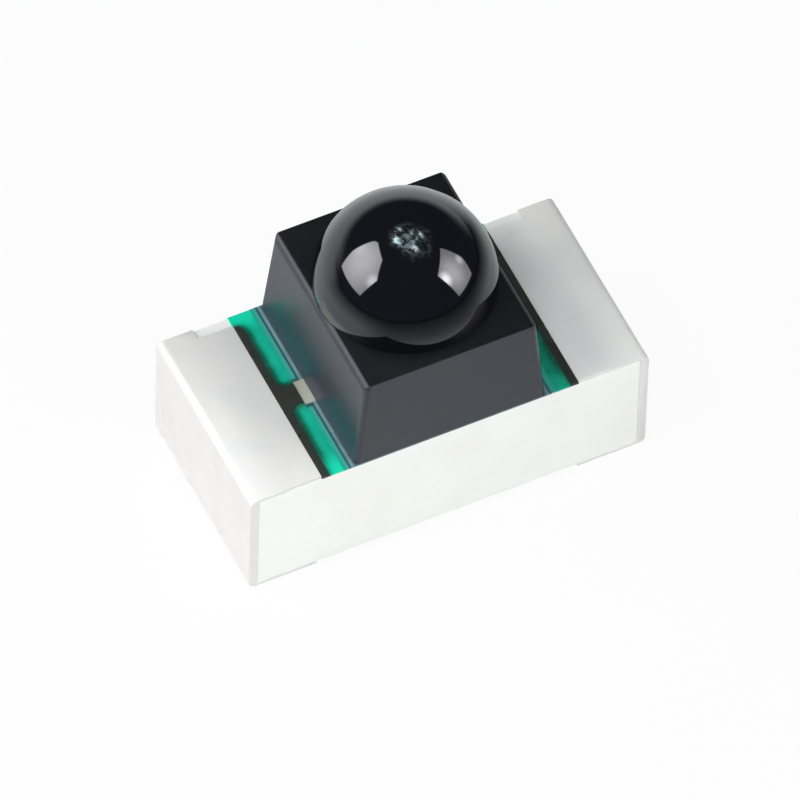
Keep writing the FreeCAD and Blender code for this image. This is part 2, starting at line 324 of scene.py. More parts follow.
def laminatePaint():
    material = bpy.data.materials.new("whiteLaminate")
    paint = Paint(material)
    place = paint.millimetres()
    # Glass cloth: bundles run both ways, pressed into plies.
    weaveX = paint.wave(place, "X", *laminate["bundles"])
    weaveY = paint.wave(place, "Y", *laminate["bundles"])
    weave = weaveX * weaveY
    plies = paint.wave(place, "Z", *laminate["plies"])
    cloud = paint.noise(place, *laminate["cloud"])
    grain = paint.noise(place, *laminate["grain"])
    # Saw lines lie along the sawn faces only.
    saw = paint.noise(paint.millimetres(laminate["sawStretch"]), *laminate["saw"])
    start, full = laminate["sawnDepth"]
    sawn = paint.step(abs(paint.axis(place, "Y")), halfWidth - start, halfWidth - full)
    warm = paint.step(cloud, *laminate["creamRange"]) * laminate["creamShare"]
    colour = paint.blend(warm, laminate["bright"], laminate["cream"])
    cloth = (plies * 0.5 + weave * 0.5) * laminate["resinShare"]
    relief = grain * 0.35 + weave * 0.35 + saw * sawn * 0.8
    paint.surface(paint.shader({
        "Base Color": paint.blend(cloth, colour, laminate["resin"]),
        "Roughness": paint.spread(grain, *laminate["roughness"]),
        "IOR": 1.5,
        "Normal": paint.bump(relief, *laminate["relief"]),
    }))
    return material


def makeLaminate():
    shape = cuboid(boardHigh - boardLow, (boardHigh + boardLow) / 2)
    roundEdges(shape, shape.edges, laminate["edgeRound"], steps=3)
    newPiece(shape, "laminate_block", "substrate", laminatePaint())


plating = {
    "plateThickness": 0.07,     # mm, over the laminate's ends
    "landThickness": 0.025,
    "foilThickness": 0.015,
    "solderPadLength": 0.55,
    "outerLandLength": 0.29,
    "landEdge": 1.03,           # inner edges, from the middle of the package
    "foilEdge": 0.95,
    "landLow": -0.79,           # sides of the inner land
    "landHigh": 0.71,
    "neckWidth": 0.22,
    "neckRound": 0.06,
    "bondLandFar": 0.65,
    "bondLandHalf": 0.17,
    "foilGap": 0.004,           # foil to the plated land it comes out of
    "foilEdgeRound": 0.003,
    "plateRound": 0.06,
    "edgeRound": 0.007,
    "fresh": tone(232, 231, 227),
    "shade": tone(228, 227, 225),
    "stain": tone(214, 210, 200),
    "stainShare": 0.35,
    "bare": tone(178, 179, 166),  # the neck that the mask leaves open
    "neckFade": 0.02,
    "cloud": (0.33, 4, 0.6),    # noises: size in mm, detail, roughness, distortion
    "grain": (0.012, 3, 0.65),
    "rolled": (0.018, 2, 0.6),
    "rolledStretch": (1, 0.08, 1),
    "scratch": (0.012, 1),
    "scratchStretch": (1, 0.05, 1),
    "scratchTurn": (0, 0, 0.9),
    "scratchRange": (0.70, 0.74),
    "blot": (0.16, 3, 0.6, 0.6),
    "blotRange": (0.62, 0.78),
    "metallic": 0.2,
    "roughness": 0.52,
    "relief": (0.22, 0.003),    # strength, and depth in mm
}
neckCentre = (plating["landLow"] + plating["landHigh"]) / 2


def platingPaint():
    material = bpy.data.materials.new("matteSilverPlating")
    paint = Paint(material)
    place = paint.millimetres()
    cloud = paint.noise(place, *plating["cloud"])
    grain = paint.noise(place, *plating["grain"])
    rolled = paint.noise(paint.millimetres(plating["rolledStretch"]), *plating["rolled"])
    scratchPlace = paint.millimetres(plating["scratchStretch"], plating["scratchTurn"])
    scratch = paint.noise(scratchPlace, *plating["scratch"])
    scratches = paint.step(scratch, *plating["scratchRange"])
    blots = paint.step(paint.noise(place, *plating["blot"]), *plating["blotRange"])
    colour = paint.blend(paint.patches(cloud), plating["fresh"], plating["shade"])
    colour = paint.blend(blots * plating["stainShare"], colour, plating["stain"])
    # The neck is warmer and darker than the lands.
    edge = plating["foilEdge"]
    fade = plating["neckFade"]
    neck = 1 - paint.step(abs(paint.axis(place, "X")), edge - fade, edge + fade)
    rough = plating["roughness"] + grain * 0.12 + rolled * 0.05 - scratches * 0.10
    relief = grain * 0.6 + rolled * 0.3 - scratches * 0.4
    paint.surface(paint.shader({
        "Base Color": paint.blend(neck, colour, plating["bare"]),
        "Metallic": plating["metallic"],
        "Roughness": rough,
        "Normal": paint.bump(relief, *plating["relief"]),
    }))
    return material


def makeFoil(side, padNear, padFar, padHalf):
    # Foil under the solder mask, its neck, and the pad in the middle of the board.
    foilEdge = plating["foilEdge"] * side
    start = plating["landEdge"] * side + plating["foilGap"] * side
    neckLow = neckCentre - plating["neckWidth"] / 2
    neckHigh = neckCentre + plating["neckWidth"] / 2
    foil = bmesh.new()
    extrudeOutline(foil, [(x, y, laminateTop) for x, y in [
        (start, plating["landLow"]), (foilEdge, plating["landLow"]), (foilEdge, neckLow),
        (padNear, neckLow), (padNear, -padHalf), (padFar, -padHalf),
        (padFar, padHalf), (padNear, padHalf), (padNear, neckHigh),
        (foilEdge, neckHigh), (foilEdge, plating["landHigh"]), (start, plating["landHigh"]),
    ]], (0, 0, plating["foilThickness"]))
    roots = [
        edge for edge in foil.edges
        if runsAlong(edge, "z") and near(middle(edge).x, foilEdge)
        and abs(middle(edge).y - neckCentre) < plating["neckWidth"]
    ]
    roundEdges(foil, roots, plating["neckRound"], steps=8)
    backCorner = [
        edge for edge in foil.edges
        if runsAlong(edge, "z") and near(middle(edge).x, foilEdge)
        and near(middle(edge).y, plating["landHigh"])
    ]
    roundEdges(foil, backCorner, mask["stripRound"], steps=6)
    roundEdges(foil, sharpEdges(foil, degrees=60), plating["foilEdgeRound"], steps=2)
    return foil


def makeTerminal(name, node, side, padNear, padFar, padHalf, material):
    end = packageEnd * side
    plateInside = (packageEnd - plating["plateThickness"]) * side
    outerLandEdge = (packageEnd - plating["outerLandLength"]) * side
    padEdge = (packageEnd - plating["solderPadLength"]) * side
    landEdge = plating["landEdge"] * side
    thick = plating["landThickness"]
    shape = bmesh.new()
    wrap = [
        (end, 0), (padEdge, 0), (padEdge, thick), (plateInside, thick),
        (plateInside, laminateTop), (outerLandEdge, laminateTop),
        (outerLandEdge, packageTop), (end, packageTop),
    ]
    extrudeOutline(shape, [(x, -halfWidth, z) for x, z in wrap], (0, halfWidth * 2, 0))
    # The inner land grows out of the edge of the outer one, inset from the sawn faces.
    for cut in (plating["landLow"], plating["landHigh"]):
        bmesh.ops.bisect_plane(
            shape, geom=shape.verts[:] + shape.edges[:] + shape.faces[:],
            plane_co=(0, cut, 0), plane_no=(0, 1, 0), dist=0.00001,
        )
    lip = [
        face for face in shape.faces
        if near(middle(face).x, outerLandEdge) and abs(face.normal.x) > 0.9
        and plating["landLow"] < middle(face).y < plating["landHigh"]
    ]
    grown = bmesh.ops.extrude_discrete_faces(shape, faces=lip)["faces"]
    tip = list({vert for face in grown for vert in face.verts})
    bmesh.ops.translate(shape, vec=(landEdge - outerLandEdge, 0, 0), verts=tip)
    bmesh.ops.dissolve_limit(
        shape, angle_limit=0.01, verts=shape.verts[:], edges=shape.edges[:],
    )
    corners = [
        edge for edge in sharpEdges(shape)
        if near(middle(edge).x, end) and runsAlong(edge, "y")
    ]
    roundEdges(shape, corners, plating["plateRound"], steps=8)
    roundEdges(shape, sharpEdges(shape), plating["edgeRound"], steps=2)

    foil = makeFoil(side, padNear, padFar, padHalf)
    foilMesh = bpy.data.meshes.new("foil")
    foil.to_mesh(foilMesh)
    foil.free()
    shape.from_mesh(foilMesh)
    bpy.data.meshes.remove(foilMesh)
    newPiece(shape, name, node, material)


def makeTerminals():
    silver = platingPaint()
    diePad = collectorHigh.x
    makeTerminal("collector_plating", "collector_terminal", -1, -diePad, diePad, diePad, silver)
    makeTerminal(
        "emitter_plating", "emitter_terminal", 1,
        plating["bondLandFar"], emitterLow.x, plating["bondLandHalf"], silver,
    )


mask = {
    "overCopper": 0.022,        # mm, height of the film
    "overLaminate": 0.0125,
    "climb": (-0.022, 0.012),   # where it rises onto the copper, from the copper's edge
    "stripRound": 0.07,
    "edgeDrop": 0.0025,         # the film thins out at its outer edges
    "edgeReach": 0.006,
    "columns": 34,
    "rows": 220,
    "green": tone(0, 176, 146),
    "greenDeep": tone(0, 108, 80),
    "greenPale": tone(8, 222, 178),
    "charcoal": tone(36, 52, 46),
    "charcoalWarm": tone(50, 50, 44),
    # Bands across the copper's edge, in mm over the copper and negative beside it.
    "darkBand": (-0.010, 0.026),
    "shadeBand": (-0.060, 0.004),
    "warmBand": (0.015, 0.075),
    "wander": 0.008,            # how much the dark band wavers, in mm
    "wanderSize": 0.05,
    # Painted shade beside the emitter.
    "emitterShadeSide": (-0.2, 0.2),   # mm along the package
    "emitterShadeShare": 0.6,
    # Painted light towards the sawn ends.
    "sawnEndLight": (0.58, 0.78),    # mm from the middle of the package
    "sawnLightShare": 0.95,
    "cloudSize": 0.16,
    "cloudRange": (0.45, 0.75),
    "cloudShare": 0.2,
    "peelSize": 0.035,
    "roughness": (0.24, 0.36),
    "relief": (0.3, 0.004),     # strength, and depth in mm
}


def copperDepth(x, y, greater, lesser, root):
    # How far a point lies over the copper foil, with a round back corner and the neck's
    # roots rounded. Works on numbers and on signals alike.
    bend = plating["neckRound"]
    corner = mask["stripRound"]
    inward = abs(x) - plating["foilEdge"]
    fromBack = plating["landHigh"] - y
    pastInward = greater(corner - inward, 0)
    pastBack = greater(corner - fromBack, 0)
    cornerReach = root(pastInward * pastInward + pastBack * pastBack)
    strip = corner - cornerReach + greater(lesser(inward, fromBack) - corner, 0)
    neck = plating["neckWidth"] / 2 - abs(y - neckCentre)
    onStrip = strip + bend
    onNeck = neck + bend
    rootReach = root(
        greater(onStrip, 0) * greater(onStrip, 0) + greater(onNeck, 0) * greater(onNeck, 0)
    )
    return lesser(greater(onStrip, onNeck), 0) + rootReach - bend


def maskPaint():
    material = bpy.data.materials.new("greenSolderMask")
    paint = Paint(material)
    place = paint.millimetres()
    x = paint.axis(place, "X")
    y = paint.axis(place, "Y")
    depth = copperDepth(x, y, Signal.atLeast, Signal.atMost, Signal.root)
    wander = paint.noise(place, mask["wanderSize"]) - 0.5
    covered = paint.step(depth + wander * mask["wander"], *mask["darkBand"])
    shaded = paint.step(depth, *mask["shadeBand"])
    green = paint.blend(shaded, mask["green"], mask["greenDeep"])
    # Painted shade and light: the green is darker beside the emitter, where the block shades it,
    # and lighter towards the sawn ends.
    thick = paint.step(x, *mask["emitterShadeSide"]) * mask["emitterShadeShare"]
    green = paint.blend(thick, green, mask["greenDeep"])
    sawnEndLight = paint.step(abs(y), *mask["sawnEndLight"]) * mask["sawnLightShare"]
    green = paint.blend(sawnEndLight * (1 - thick), green, mask["greenPale"])
    cloud = paint.noise(place, mask["cloudSize"])
    pale = paint.step(cloud, *mask["cloudRange"]) * mask["cloudShare"]
    green = paint.blend(pale, green, mask["greenPale"])
    warm = paint.step(depth, *mask["warmBand"])
    dark = paint.blend(warm, mask["charcoal"], mask["charcoalWarm"])
    paint.surface(paint.shader({
        "Base Color": paint.blend(covered, green, dark),
        "Roughness": paint.spread(cloud, *mask["roughness"]),
        "IOR": 1.33,
        "Normal": paint.bump(paint.noise(place, mask["peelSize"]), *mask["relief"]),
    }))
    return material


def makeMask(name, node, side, material):
    # A film that follows the copper and the bare laminate.
    shape = bmesh.new()
    bmesh.ops.create_grid(
        shape, x_segments=mask["columns"], y_segments=mask["rows"], size=0.5,
    )
    length = maskHigh.x - maskLow.x
    centre = (maskHigh.x + maskLow.x) / 2 * side
    bmesh.ops.scale(shape, vec=(length, halfWidth * 2, 1), verts=shape.verts)
    bmesh.ops.translate(shape, vec=(centre, 0, 0), verts=shape.verts)
    climbStart, climbEnd = mask["climb"]
    for vert in shape.verts:
        depth = copperDepth(vert.co.x, vert.co.y, max, min, math.sqrt)
        covered = min(max((depth - climbStart) / (climbEnd - climbStart), 0), 1)
        covered = covered * covered * (3 - 2 * covered)
        lift = mask["overLaminate"] + (mask["overCopper"] - mask["overLaminate"]) * covered
        edge = min(maskHigh.x - abs(vert.co.x), halfWidth - abs(vert.co.y))
        lift -= mask["edgeDrop"] * max(0, 1 - edge / mask["edgeReach"]) ** 2
        vert.co.z = laminateTop + lift
    skirt = bmesh.ops.extrude_edge_only(shape, edges=[e for e in shape.edges if e.is_boundary])
    for part in skirt["geom"]:
        if isinstance(part, bmesh.types.BMVert):
            part.co.z = laminateTop
    bmesh.ops.contextual_create(shape, geom=[edge for edge in shape.edges if edge.is_boundary])
    newPiece(shape, name, node, material, sharpAngle=50)


def makeMasks():
    green = maskPaint()
    makeMask("collector_mask_film", "collector_solder_mask", -1, green)
    makeMask("emitter_mask_film", "emitter_solder_mask", 1, green)


epoxy = {
    "footLength": 1.54,         # mm
    "topLength": 1.37,
    "topWidth": 1.545,
    "blockTop": 1.87,
    "filmThickness": 0.012,
    "domeRadius": 0.68,
    "skirt": 0.08,
    "edgeRound": 0.045,
    "crispEdge": 0.006,
    "domeRings": 56,
    "domeSides": 144,
    "polish": (0.0040, 0.0043, 0.0052),
    "lid": (0.0080, 0.0088, 0.0106),
    "lidWarm": (0.0100, 0.0102, 0.0118),
    "matte": (0.0054, 0.0066, 0.0124),
    "matteWarm": (0.0066, 0.0070, 0.0118),
    # Painted reflections on the drafted ends: grey for the lamps, teal for the green mask.
    "wallReflectionGrey": (0.0280, 0.0310, 0.0410),
    "wallMaskReflection": (0.0100, 0.0190, 0.0370),
    "film": tone(34, 84, 90),
    # The pale and the sheen tones of the flash are painted highlights.
    "filmHighlight": tone(124, 162, 164),
    "filmGreen": tone(0, 172, 142),
    "filmMaskHighlight": tone(62, 172, 162),
    "domeRoughness": 0.035,
    "blockRoughness": 0.31,
    "filmRoughness": 0.26,
    "lidRoughness": (0.30, 0.36),
    "grainRoughness": 0.04,
    "wornRoughness": 0.2,
    "relief": (0.10, 0.002),    # strength, and depth in mm
    "cloud": (0.4, 3, 0.55),    # noises: size in mm, detail, roughness
    "grain": (0.02, 2, 0.6),
    "drawMark": (0.03, 2, 0.6),
    "drawMarkStretch": (1, 1, 0.15),
    # Depths under the block's top, in mm, between which a finish comes in.
    "reflectionDepths": (0.10, 0.02),
    "wornDepths": (0.09, 0.03),
    "lidDepths": (0.004, 0.001),
    "domeDepths": (-0.001, -0.012),
    # Share of the painted grey reflection, and margin of the painted teal one.
    "reflectionShare": 0.8,
    "maskReflectionMargin": 0.1,          # mm over the flash and under the top
    "endBand": (0.03, 0.004),   # mm in from the ends of the foot
    "wornBand": (0.03, 0.06),   # mm in from the ends of the top
    "filmFade": (0.0005, 0.004),  # mm over the flash
    # Bands across the flash, from 0 at its thin edge to 1 at the block.
    # The sheen band and the pale line are painted highlights.
    "maskHighlightBand": (0.14, 0.38),
    "maskBand": (0.40, 0.58),
    "highlightRise": (0.62, 0.80),
    "highlightFall": (0.88, 1.04),
    "highlightDrop": 0.7,
    "mottleSize": 0.12,
    "mottle": (0.3, 0.6, 0.7, 1.0),  # range of the noise, share of the pale it leaves
    "neckGap": (0.125, 0.155),  # mm from the neck's middle, where the mask starts
}


def towardsTop(paint, z, depths):
    # Comes in between two depths under the block's top.
    deep, shallow = depths
    return paint.step(z, epoxy["blockTop"] - deep, epoxy["blockTop"] - shallow)


def filmColour(paint, place, x, y):
    # The flash is thin enough to show the board, and the mask where it runs under. A painted
    # highlight lies where the mask ends under it, and a pale painted highlight line near the foot
    # of the block.
    across = (mouldHigh.x - abs(x)) / (mouldHigh.x - epoxy["footLength"] / 2)
    offNeck = paint.step(abs(y - neckCentre), *epoxy["neckGap"])
    pale = paint.step(across, *epoxy["highlightRise"])
    pale = pale * (1 - paint.step(across, *epoxy["highlightFall"]) * epoxy["highlightDrop"])
    pale = pale * paint.step(paint.noise(place, epoxy["mottleSize"]), *epoxy["mottle"])
    colour = paint.blend(pale, epoxy["film"], epoxy["filmHighlight"])
    maskHighlight = paint.step(across, *epoxy["maskHighlightBand"])
    underMask = paint.blend(maskHighlight, epoxy["filmGreen"], epoxy["filmMaskHighlight"])
    overMask = (1 - paint.step(across, *epoxy["maskBand"])) * offNeck
    return paint.blend(overMask, colour, underMask)


def epoxyPaint():
    material = bpy.data.materials.new("smokeBlackEpoxy")
    paint = Paint(material)
    place = paint.millimetres()
    x, y, z = [paint.axis(place, name) for name in "XYZ"]
    foot = epoxy["footLength"] / 2
    filmTop = laminateTop + epoxy["filmThickness"]
    film = 1 - paint.step(z, *[filmTop + height for height in epoxy["filmFade"]])
    lid = towardsTop(paint, z, epoxy["lidDepths"])
    polished = towardsTop(paint, z, epoxy["domeDepths"])
    unpolished = 1 - polished
    cloud = paint.noise(place, *epoxy["cloud"])
    grain = paint.noise(place, *epoxy["grain"])
    matte = paint.blend(paint.patches(cloud), epoxy["matte"], epoxy["matteWarm"])
    # The two drafted ends are greyer than the rest, and bluer towards the foot: painted
    # reflections of the lamps and of the green mask.
    lean = (epoxy["footLength"] - epoxy["topLength"]) / 2 / (epoxy["blockTop"] - filmTop)
    fromAxis = abs(x) + (z - filmTop) * lean
    onEnd = paint.step(fromAxis, *[foot - inset for inset in epoxy["endBand"]])
    reflectedGrey = (1 - towardsTop(paint, z, epoxy["reflectionDepths"])) * epoxy["reflectionShare"]
    margin = epoxy["maskReflectionMargin"]
    low = 1 - paint.step(z, filmTop + margin, epoxy["blockTop"] - margin)
    matte = paint.blend(onEnd * reflectedGrey, matte, epoxy["wallReflectionGrey"])
    matte = paint.blend(onEnd * low, matte, epoxy["wallMaskReflection"])
    smoke = paint.blend(polished, matte, epoxy["polish"])
    # The block is matte with upright draw marks, and duller at its rounded top edges.
    marks = paint.noise(paint.millimetres(epoxy["drawMarkStretch"]), *epoxy["drawMark"])
    worn = 1 - paint.step(epoxy["topLength"] / 2 - abs(x), *epoxy["wornBand"])
    worn = worn * towardsTop(paint, z, epoxy["wornDepths"])
    rough = (
        epoxy["blockRoughness"]
        + polished * (epoxy["domeRoughness"] - epoxy["blockRoughness"])
        + film * (epoxy["filmRoughness"] - epoxy["blockRoughness"])
        + grain * unpolished * epoxy["grainRoughness"]
        + worn * unpolished * epoxy["wornRoughness"]
    )
    relief = (grain * 0.5 + marks * 0.5) * unpolished + cloud * 0.2 * polished
    normal = paint.bump(relief, *epoxy["relief"])
    moulded = paint.shader({
        "Base Color": paint.blend(film, smoke, filmColour(paint, place, x, y)),
        "Roughness": rough,
        "IOR": 1.66,
        "Specular Tint": (0.88, 0.93, 1.0, 1),
        "Normal": normal,
    })
    # The flat lid round the dome is etched, and shines less.
    etched = paint.shader({
        "Base Color": paint.blend(paint.patches(cloud), epoxy["lid"], epoxy["lidWarm"]),
        "Roughness": paint.spread(grain, *epoxy["lidRoughness"]),
        "IOR": 1.25,
        "Normal": normal,
    })
    paint.surface(paint.mixShaders(lid * unpolished, moulded, etched))
    return material


def makeBlock():
    # It draws in towards its top; its foot is sunk a little way into the flash.
    blockTop = epoxy["blockTop"]
    foot = laminateTop + epoxy["filmThickness"] / 2
    size = (epoxy["footLength"], halfWidth * 2, blockTop - foot)
    block = cuboid(size, (0, 0, (blockTop + foot) / 2))
    lid = [vert for vert in block.verts if near(vert.co.z, blockTop)]
    draw = (epoxy["topLength"] / epoxy["footLength"], epoxy["topWidth"] / (halfWidth * 2), 1)
    bmesh.ops.scale(block, vec=draw, verts=lid)
    ends = [
        edge for edge in block.edges
        if runsAlong(edge, "z") or runsAlong(edge, "y") and near(middle(edge).z, blockTop)
    ]
    roundEdges(block, ends, epoxy["edgeRound"], steps=8)
    crisp = [
        edge for edge in sharpEdges(block)
        if near(middle(edge).z, blockTop) and runsAlong(edge, "x")
    ]
    roundEdges(block, crisp, epoxy["crispEdge"], steps=2)
    return block


def makeDome():
    # A quarter arc on a short skirt, spun once round and closed underneath.
    radius = epoxy["domeRadius"]
    blockTop = epoxy["blockTop"]
    dome = bmesh.new()
    rim = dome.verts.new((radius, 0, blockTop))
    bmesh.ops.spin(
        dome, geom=[rim], cent=(0, 0, blockTop), axis=(0, -1, 0),
        angle=quarterTurn, steps=epoxy["domeRings"],
    )
    skirt = dome.verts.new((radius, 0, blockTop - epoxy["skirt"]))
    dome.edges.new((rim, skirt))
    bmesh.ops.spin(
        dome, geom=dome.verts[:] + dome.edges[:], cent=(0, 0, 0), axis=(0, 0, 1),
        angle=fullTurn, steps=epoxy["domeSides"], use_merge=True,
    )
    bmesh.ops.remove_doubles(dome, verts=dome.verts, dist=0.0005)
    bmesh.ops.contextual_create(dome, geom=[edge for edge in dome.edges if edge.is_boundary])
    return dome


def makeLensBody():
    flash = cuboid(
        (mouldHigh.x * 2, halfWidth * 2, epoxy["filmThickness"]),
        (0, 0, laminateTop + epoxy["filmThickness"] / 2),
    )
    shape = unite(unite(flash, makeBlock()), makeDome())
    newPiece(
        shape, "moulded_lens_body", "lens_body", epoxyPaint(), sharpAngle=20,
    )


adhesive = {
    "silver": tone(188, 188, 184),
    "silverDark": tone(140, 140, 138),
    "flakes": 120,              # flakes to a millimetre
    "dullRange": (0.2, 0.6),
    "metallic": (0.9, 0.3),
    "roughness": (0.35, 0.6),
    "relief": (0.5, 0.003),     # strength, and depth in mm
}


def adhesivePaint():
    material = bpy.data.materials.new("silverFilledAdhesive")
    paint = Paint(material)
    flakes = paint.add("ShaderNodeTexVoronoi", {"feature": "F1"}, {
        "Vector": paint.millimetres(), "Scale": adhesive["flakes"],
    }, "Distance")
    dull = paint.step(flakes, *adhesive["dullRange"])
    paint.surface(paint.shader({
        "Base Color": paint.blend(dull, adhesive["silver"], adhesive["silverDark"]),
        "Metallic": paint.step(dull, 0, 1, *adhesive["metallic"]),
        "Roughness": paint.step(flakes, 0.1, 0.7, *adhesive["roughness"]),
        "Normal": paint.bump(flakes, *adhesive["relief"]),
    }))
    return material


die = {
    "silicon": tone(52, 56, 66),
    "junction": tone(40, 48, 84),
    "bondMetal": tone(228, 226, 220),
    "windowEdge": (0.020, 0.024),  # mm from the sawn edge
    "ringEdge": (0.034, 0.038),
    "padDepths": (0.006, 0.003),  # mm under the top of the bond pad
    "sawn": (0.01, 2, 0.6),     # noise: size in mm, detail, roughness
    "sawnStretch": (1, 1, 0.1),
    "metallic": (0.35, 1.0),
    "roughness": (0.12, 0.28),
    "relief": (0.2, 0.002),     # strength, and depth in mm
}


def diePaint():
    # Polished silicon with a blue-grey junction window and a bright bond pad.
    material = bpy.data.materials.new("siliconDie")
    paint = Paint(material)
    place = paint.millimetres()
    x, y, z = [paint.axis(place, name) for name in "XYZ"]
    fromEdge = dieHigh.x - abs(x).atLeast(abs(y))
    window = paint.step(fromEdge, *die["windowEdge"])
    ring = window * (1 - paint.step(fromEdge, *die["ringEdge"]))
    pad = paint.step(z, *[dieHigh.z - depth for depth in die["padDepths"]])
    metal = (ring + pad).atMost(1)
    sawn = paint.noise(paint.millimetres(die["sawnStretch"]), *die["sawn"])
    colour = paint.blend(window, die["silicon"], die["junction"])
    paint.surface(paint.shader({
        "Base Color": paint.blend(metal, colour, die["bondMetal"]),
        "Metallic": paint.step(metal, 0, 1, *die["metallic"]),
        "Roughness": paint.spread(sawn, *die["roughness"]),
        "Normal": paint.bump(sawn * (1 - window), *die["relief"]),
    }))
    return material


wire = {
    "gold": (0.94, 0.66, 0.27),
    "goldDeep": (0.86, 0.55, 0.18),
    "drawn": (0.02, 3, 0.6),    # noise: size in mm, detail, roughness
    "roughness": (0.18, 0.32),
    "relief": (0.1, 0.002),     # strength, and depth in mm
}


def wirePaint():
    material = bpy.data.materials.new("drawnGoldWire")
    paint = Paint(material)
    drawn = paint.noise(paint.millimetres(), *wire["drawn"])
    paint.surface(paint.shader({
        "Base Color": paint.blend(drawn, wire["gold"], wire["goldDeep"]),
        "Metallic": 1.0,
        "Roughness": paint.spread(drawn, *wire["roughness"]),
        "Normal": paint.bump(drawn, *wire["relief"]),
    }))
    return material


inkMark = {
    "ink": tone(24, 132, 104),
    "inkPale": tone(40, 160, 128),
    "cloud": (0.08, 3, 0.6),    # noise: size in mm, detail, roughness
    "peelSize": 0.03,
    "roughness": (0.28, 0.42),
    "relief": (0.3, 0.004),     # strength, and depth in mm
}


def inkMarkPaint():
    material = bpy.data.materials.new("maskInkMark")
    paint = Paint(material)
    place = paint.millimetres()
    cloud = paint.noise(place, *inkMark["cloud"])
    paint.surface(paint.shader({
        "Base Color": paint.blend(paint.patches(cloud), inkMark["ink"], inkMark["inkPale"]),
        "Roughness": paint.spread(cloud, *inkMark["roughness"]),
        "IOR": 1.52,
        "Normal": paint.bump(paint.noise(place, inkMark["peelSize"]), *inkMark["relief"]),
    }))
    return material


stage = {
    "floorHalf": 110.0,         # mm
    "floorTone": (0.80, 0.80, 0.80),
    "floorFleck": (0.78, 0.78, 0.77),
    "fleckSize": 0.4,
    "fleckShare": 0.1,
    "nearShade": 0.93,          # share of plain white close to the part, for the camera
    "shadeStart": 3.0,          # mm from the middle of the part
    "shadeEnd": 13.0,
    # Reflections see the floor white at the left and behind, greyer in front and to the
    # right, and dark far away. A direction's range is in cosines of the angle to it.
    "mirrorDim": (0.04, 0.045, 0.055),
    "mirrorStart": 2.5,
    "mirrorEnd": 5.0,
    "eyeHeight": 2.0,           # mm, height from which the lens sees the floor
    "frontward": (0.2, 0.8),
    "rightward": (0.3, 0.9),
    "backward": (0.3, 0.8),
    "rightShade": 0.3,
    "nearGlow": 0.48,
    "overhead": (0.045, 0.055, 0.075),
    # The white backdrop fades out upwards and to its sides, by parts of a unit vector.
    "backdropHeight": (0.02, 0.30),
    "backdropSides": (0.30, 0.80),
    "backdropLean": 0.15,       # how far its middle lies off to the right
}


def floorPaint():
    material = bpy.data.materials.new("paperFloor")
    paint = Paint(material)
    place = paint.millimetres()
    x = paint.axis(place, "X")
    y = paint.axis(place, "Y")
    away = paint.add("ShaderNodeVectorMath", {"operation": "LENGTH"}, {0: place}, "Value")
    outward = paint.step(away, stage["mirrorStart"], stage["mirrorEnd"])
    front = paint.step(y / away * -1, *stage["frontward"])
    right = paint.step(x / away, *stage["rightward"])
    behind = paint.step(y / away, *stage["backward"])
    close = paint.step(stage["eyeHeight"] / away, 0.0, 0.5)
    white = outward * (1 - front) * (1 - right * stage["rightShade"]) * close
    mirrored = white.atLeast(outward * behind)
    far = paint.step(away, stage["shadeStart"], stage["shadeEnd"])
    seen = far * (1 - stage["nearShade"]) + stage["nearShade"]
    glossRay = paint.ray("Is Glossy Ray")
    share = paint.ray("Is Camera Ray") * seen
    share = share + (glossRay + paint.ray("Is Transmission Ray")) * mirrored
    fleck = paint.noise(place, stage["fleckSize"]) * stage["fleckShare"]
    colour = paint.blend(fleck, stage["floorTone"], stage["floorFleck"])
    dim = outward * (1 - close * stage["nearGlow"]) * (1 - behind)
    colour = paint.blend(glossRay * dim, colour, stage["mirrorDim"])
    lit = paint.add("ShaderNodeBsdfDiffuse", None, {"Color": colour})
    plain = paint.add("ShaderNodeEmission", None, {"Color": (1, 1, 1, 1), "Strength": 1.0})
    paint.surface(paint.mixShaders(share, lit, plain))
    return material


def makeFloor():
    shape = bmesh.new()
    bmesh.ops.create_circle(shape, cap_ends=True, segments=64, radius=stage["floorHalf"] / 1000)
    mesh = bpy.data.meshes.new("paper_floor")
    shape.to_mesh(mesh)
    shape.free()
    mesh.materials.append(floorPaint())
    floor = bpy.data.objects.new("paper_floor", mesh)
    scene.collection.objects.link(floor)


def paintWorld():
    # White to the camera, and a dim room with a white backdrop to reflections.
    world = bpy.data.worlds.new("studio")
    scene.world = world
    paint = Paint(world)
    place = paint.add("ShaderNodeTexCoord", out="Generated")
    x, y, z = [paint.axis(place, name) for name in "XYZ"]
    low = 1 - paint.step(z, *stage["backdropHeight"])
    behind = paint.step(y + x * stage["backdropLean"], *stage["backdropSides"])
    mirrored = (paint.ray("Is Glossy Ray") + paint.ray("Is Transmission Ray")) * low * behind
    dark = paint.add("ShaderNodeBackground", None, {
        "Color": (*stage["overhead"], 1), "Strength": 1.0,
    })
    plain = paint.add("ShaderNodeBackground", None, {"Color": (1, 1, 1, 1), "Strength": 1.0})
    share = paint.ray("Is Camera Ray") + mirrored
    paint.surface(paint.mixShaders(share, dark, plain), "ShaderNodeOutputWorld")


camera = {
    "azimuth": -27.174,
    "elevation": 53.035,
    "roll": 1.945,
    "distance": 160.0,          # mm
    "scale": 137.828,           # pixels per millimetre at the aim point
    "centre": (402.503, 360.015),
    "aimHeight": 0.9,
    "picture": 800,
}


def viewAxes():
    # The camera's right, up and back directions.
    azimuth, elevation, roll = [
        math.radians(camera[key]) for key in ("azimuth", "elevation", "roll")
    ]
    back = Vector((
        math.sin(azimuth) * math.cos(elevation),
        -math.cos(azimuth) * math.cos(elevation),
        math.sin(elevation),
    ))
    level = Vector((math.cos(azimuth), math.sin(azimuth), 0))
    steep = back.cross(level)
    right = level * math.cos(roll) + steep * math.sin(roll)
    up = steep * math.cos(roll) - level * math.sin(roll)
    return right, up, back


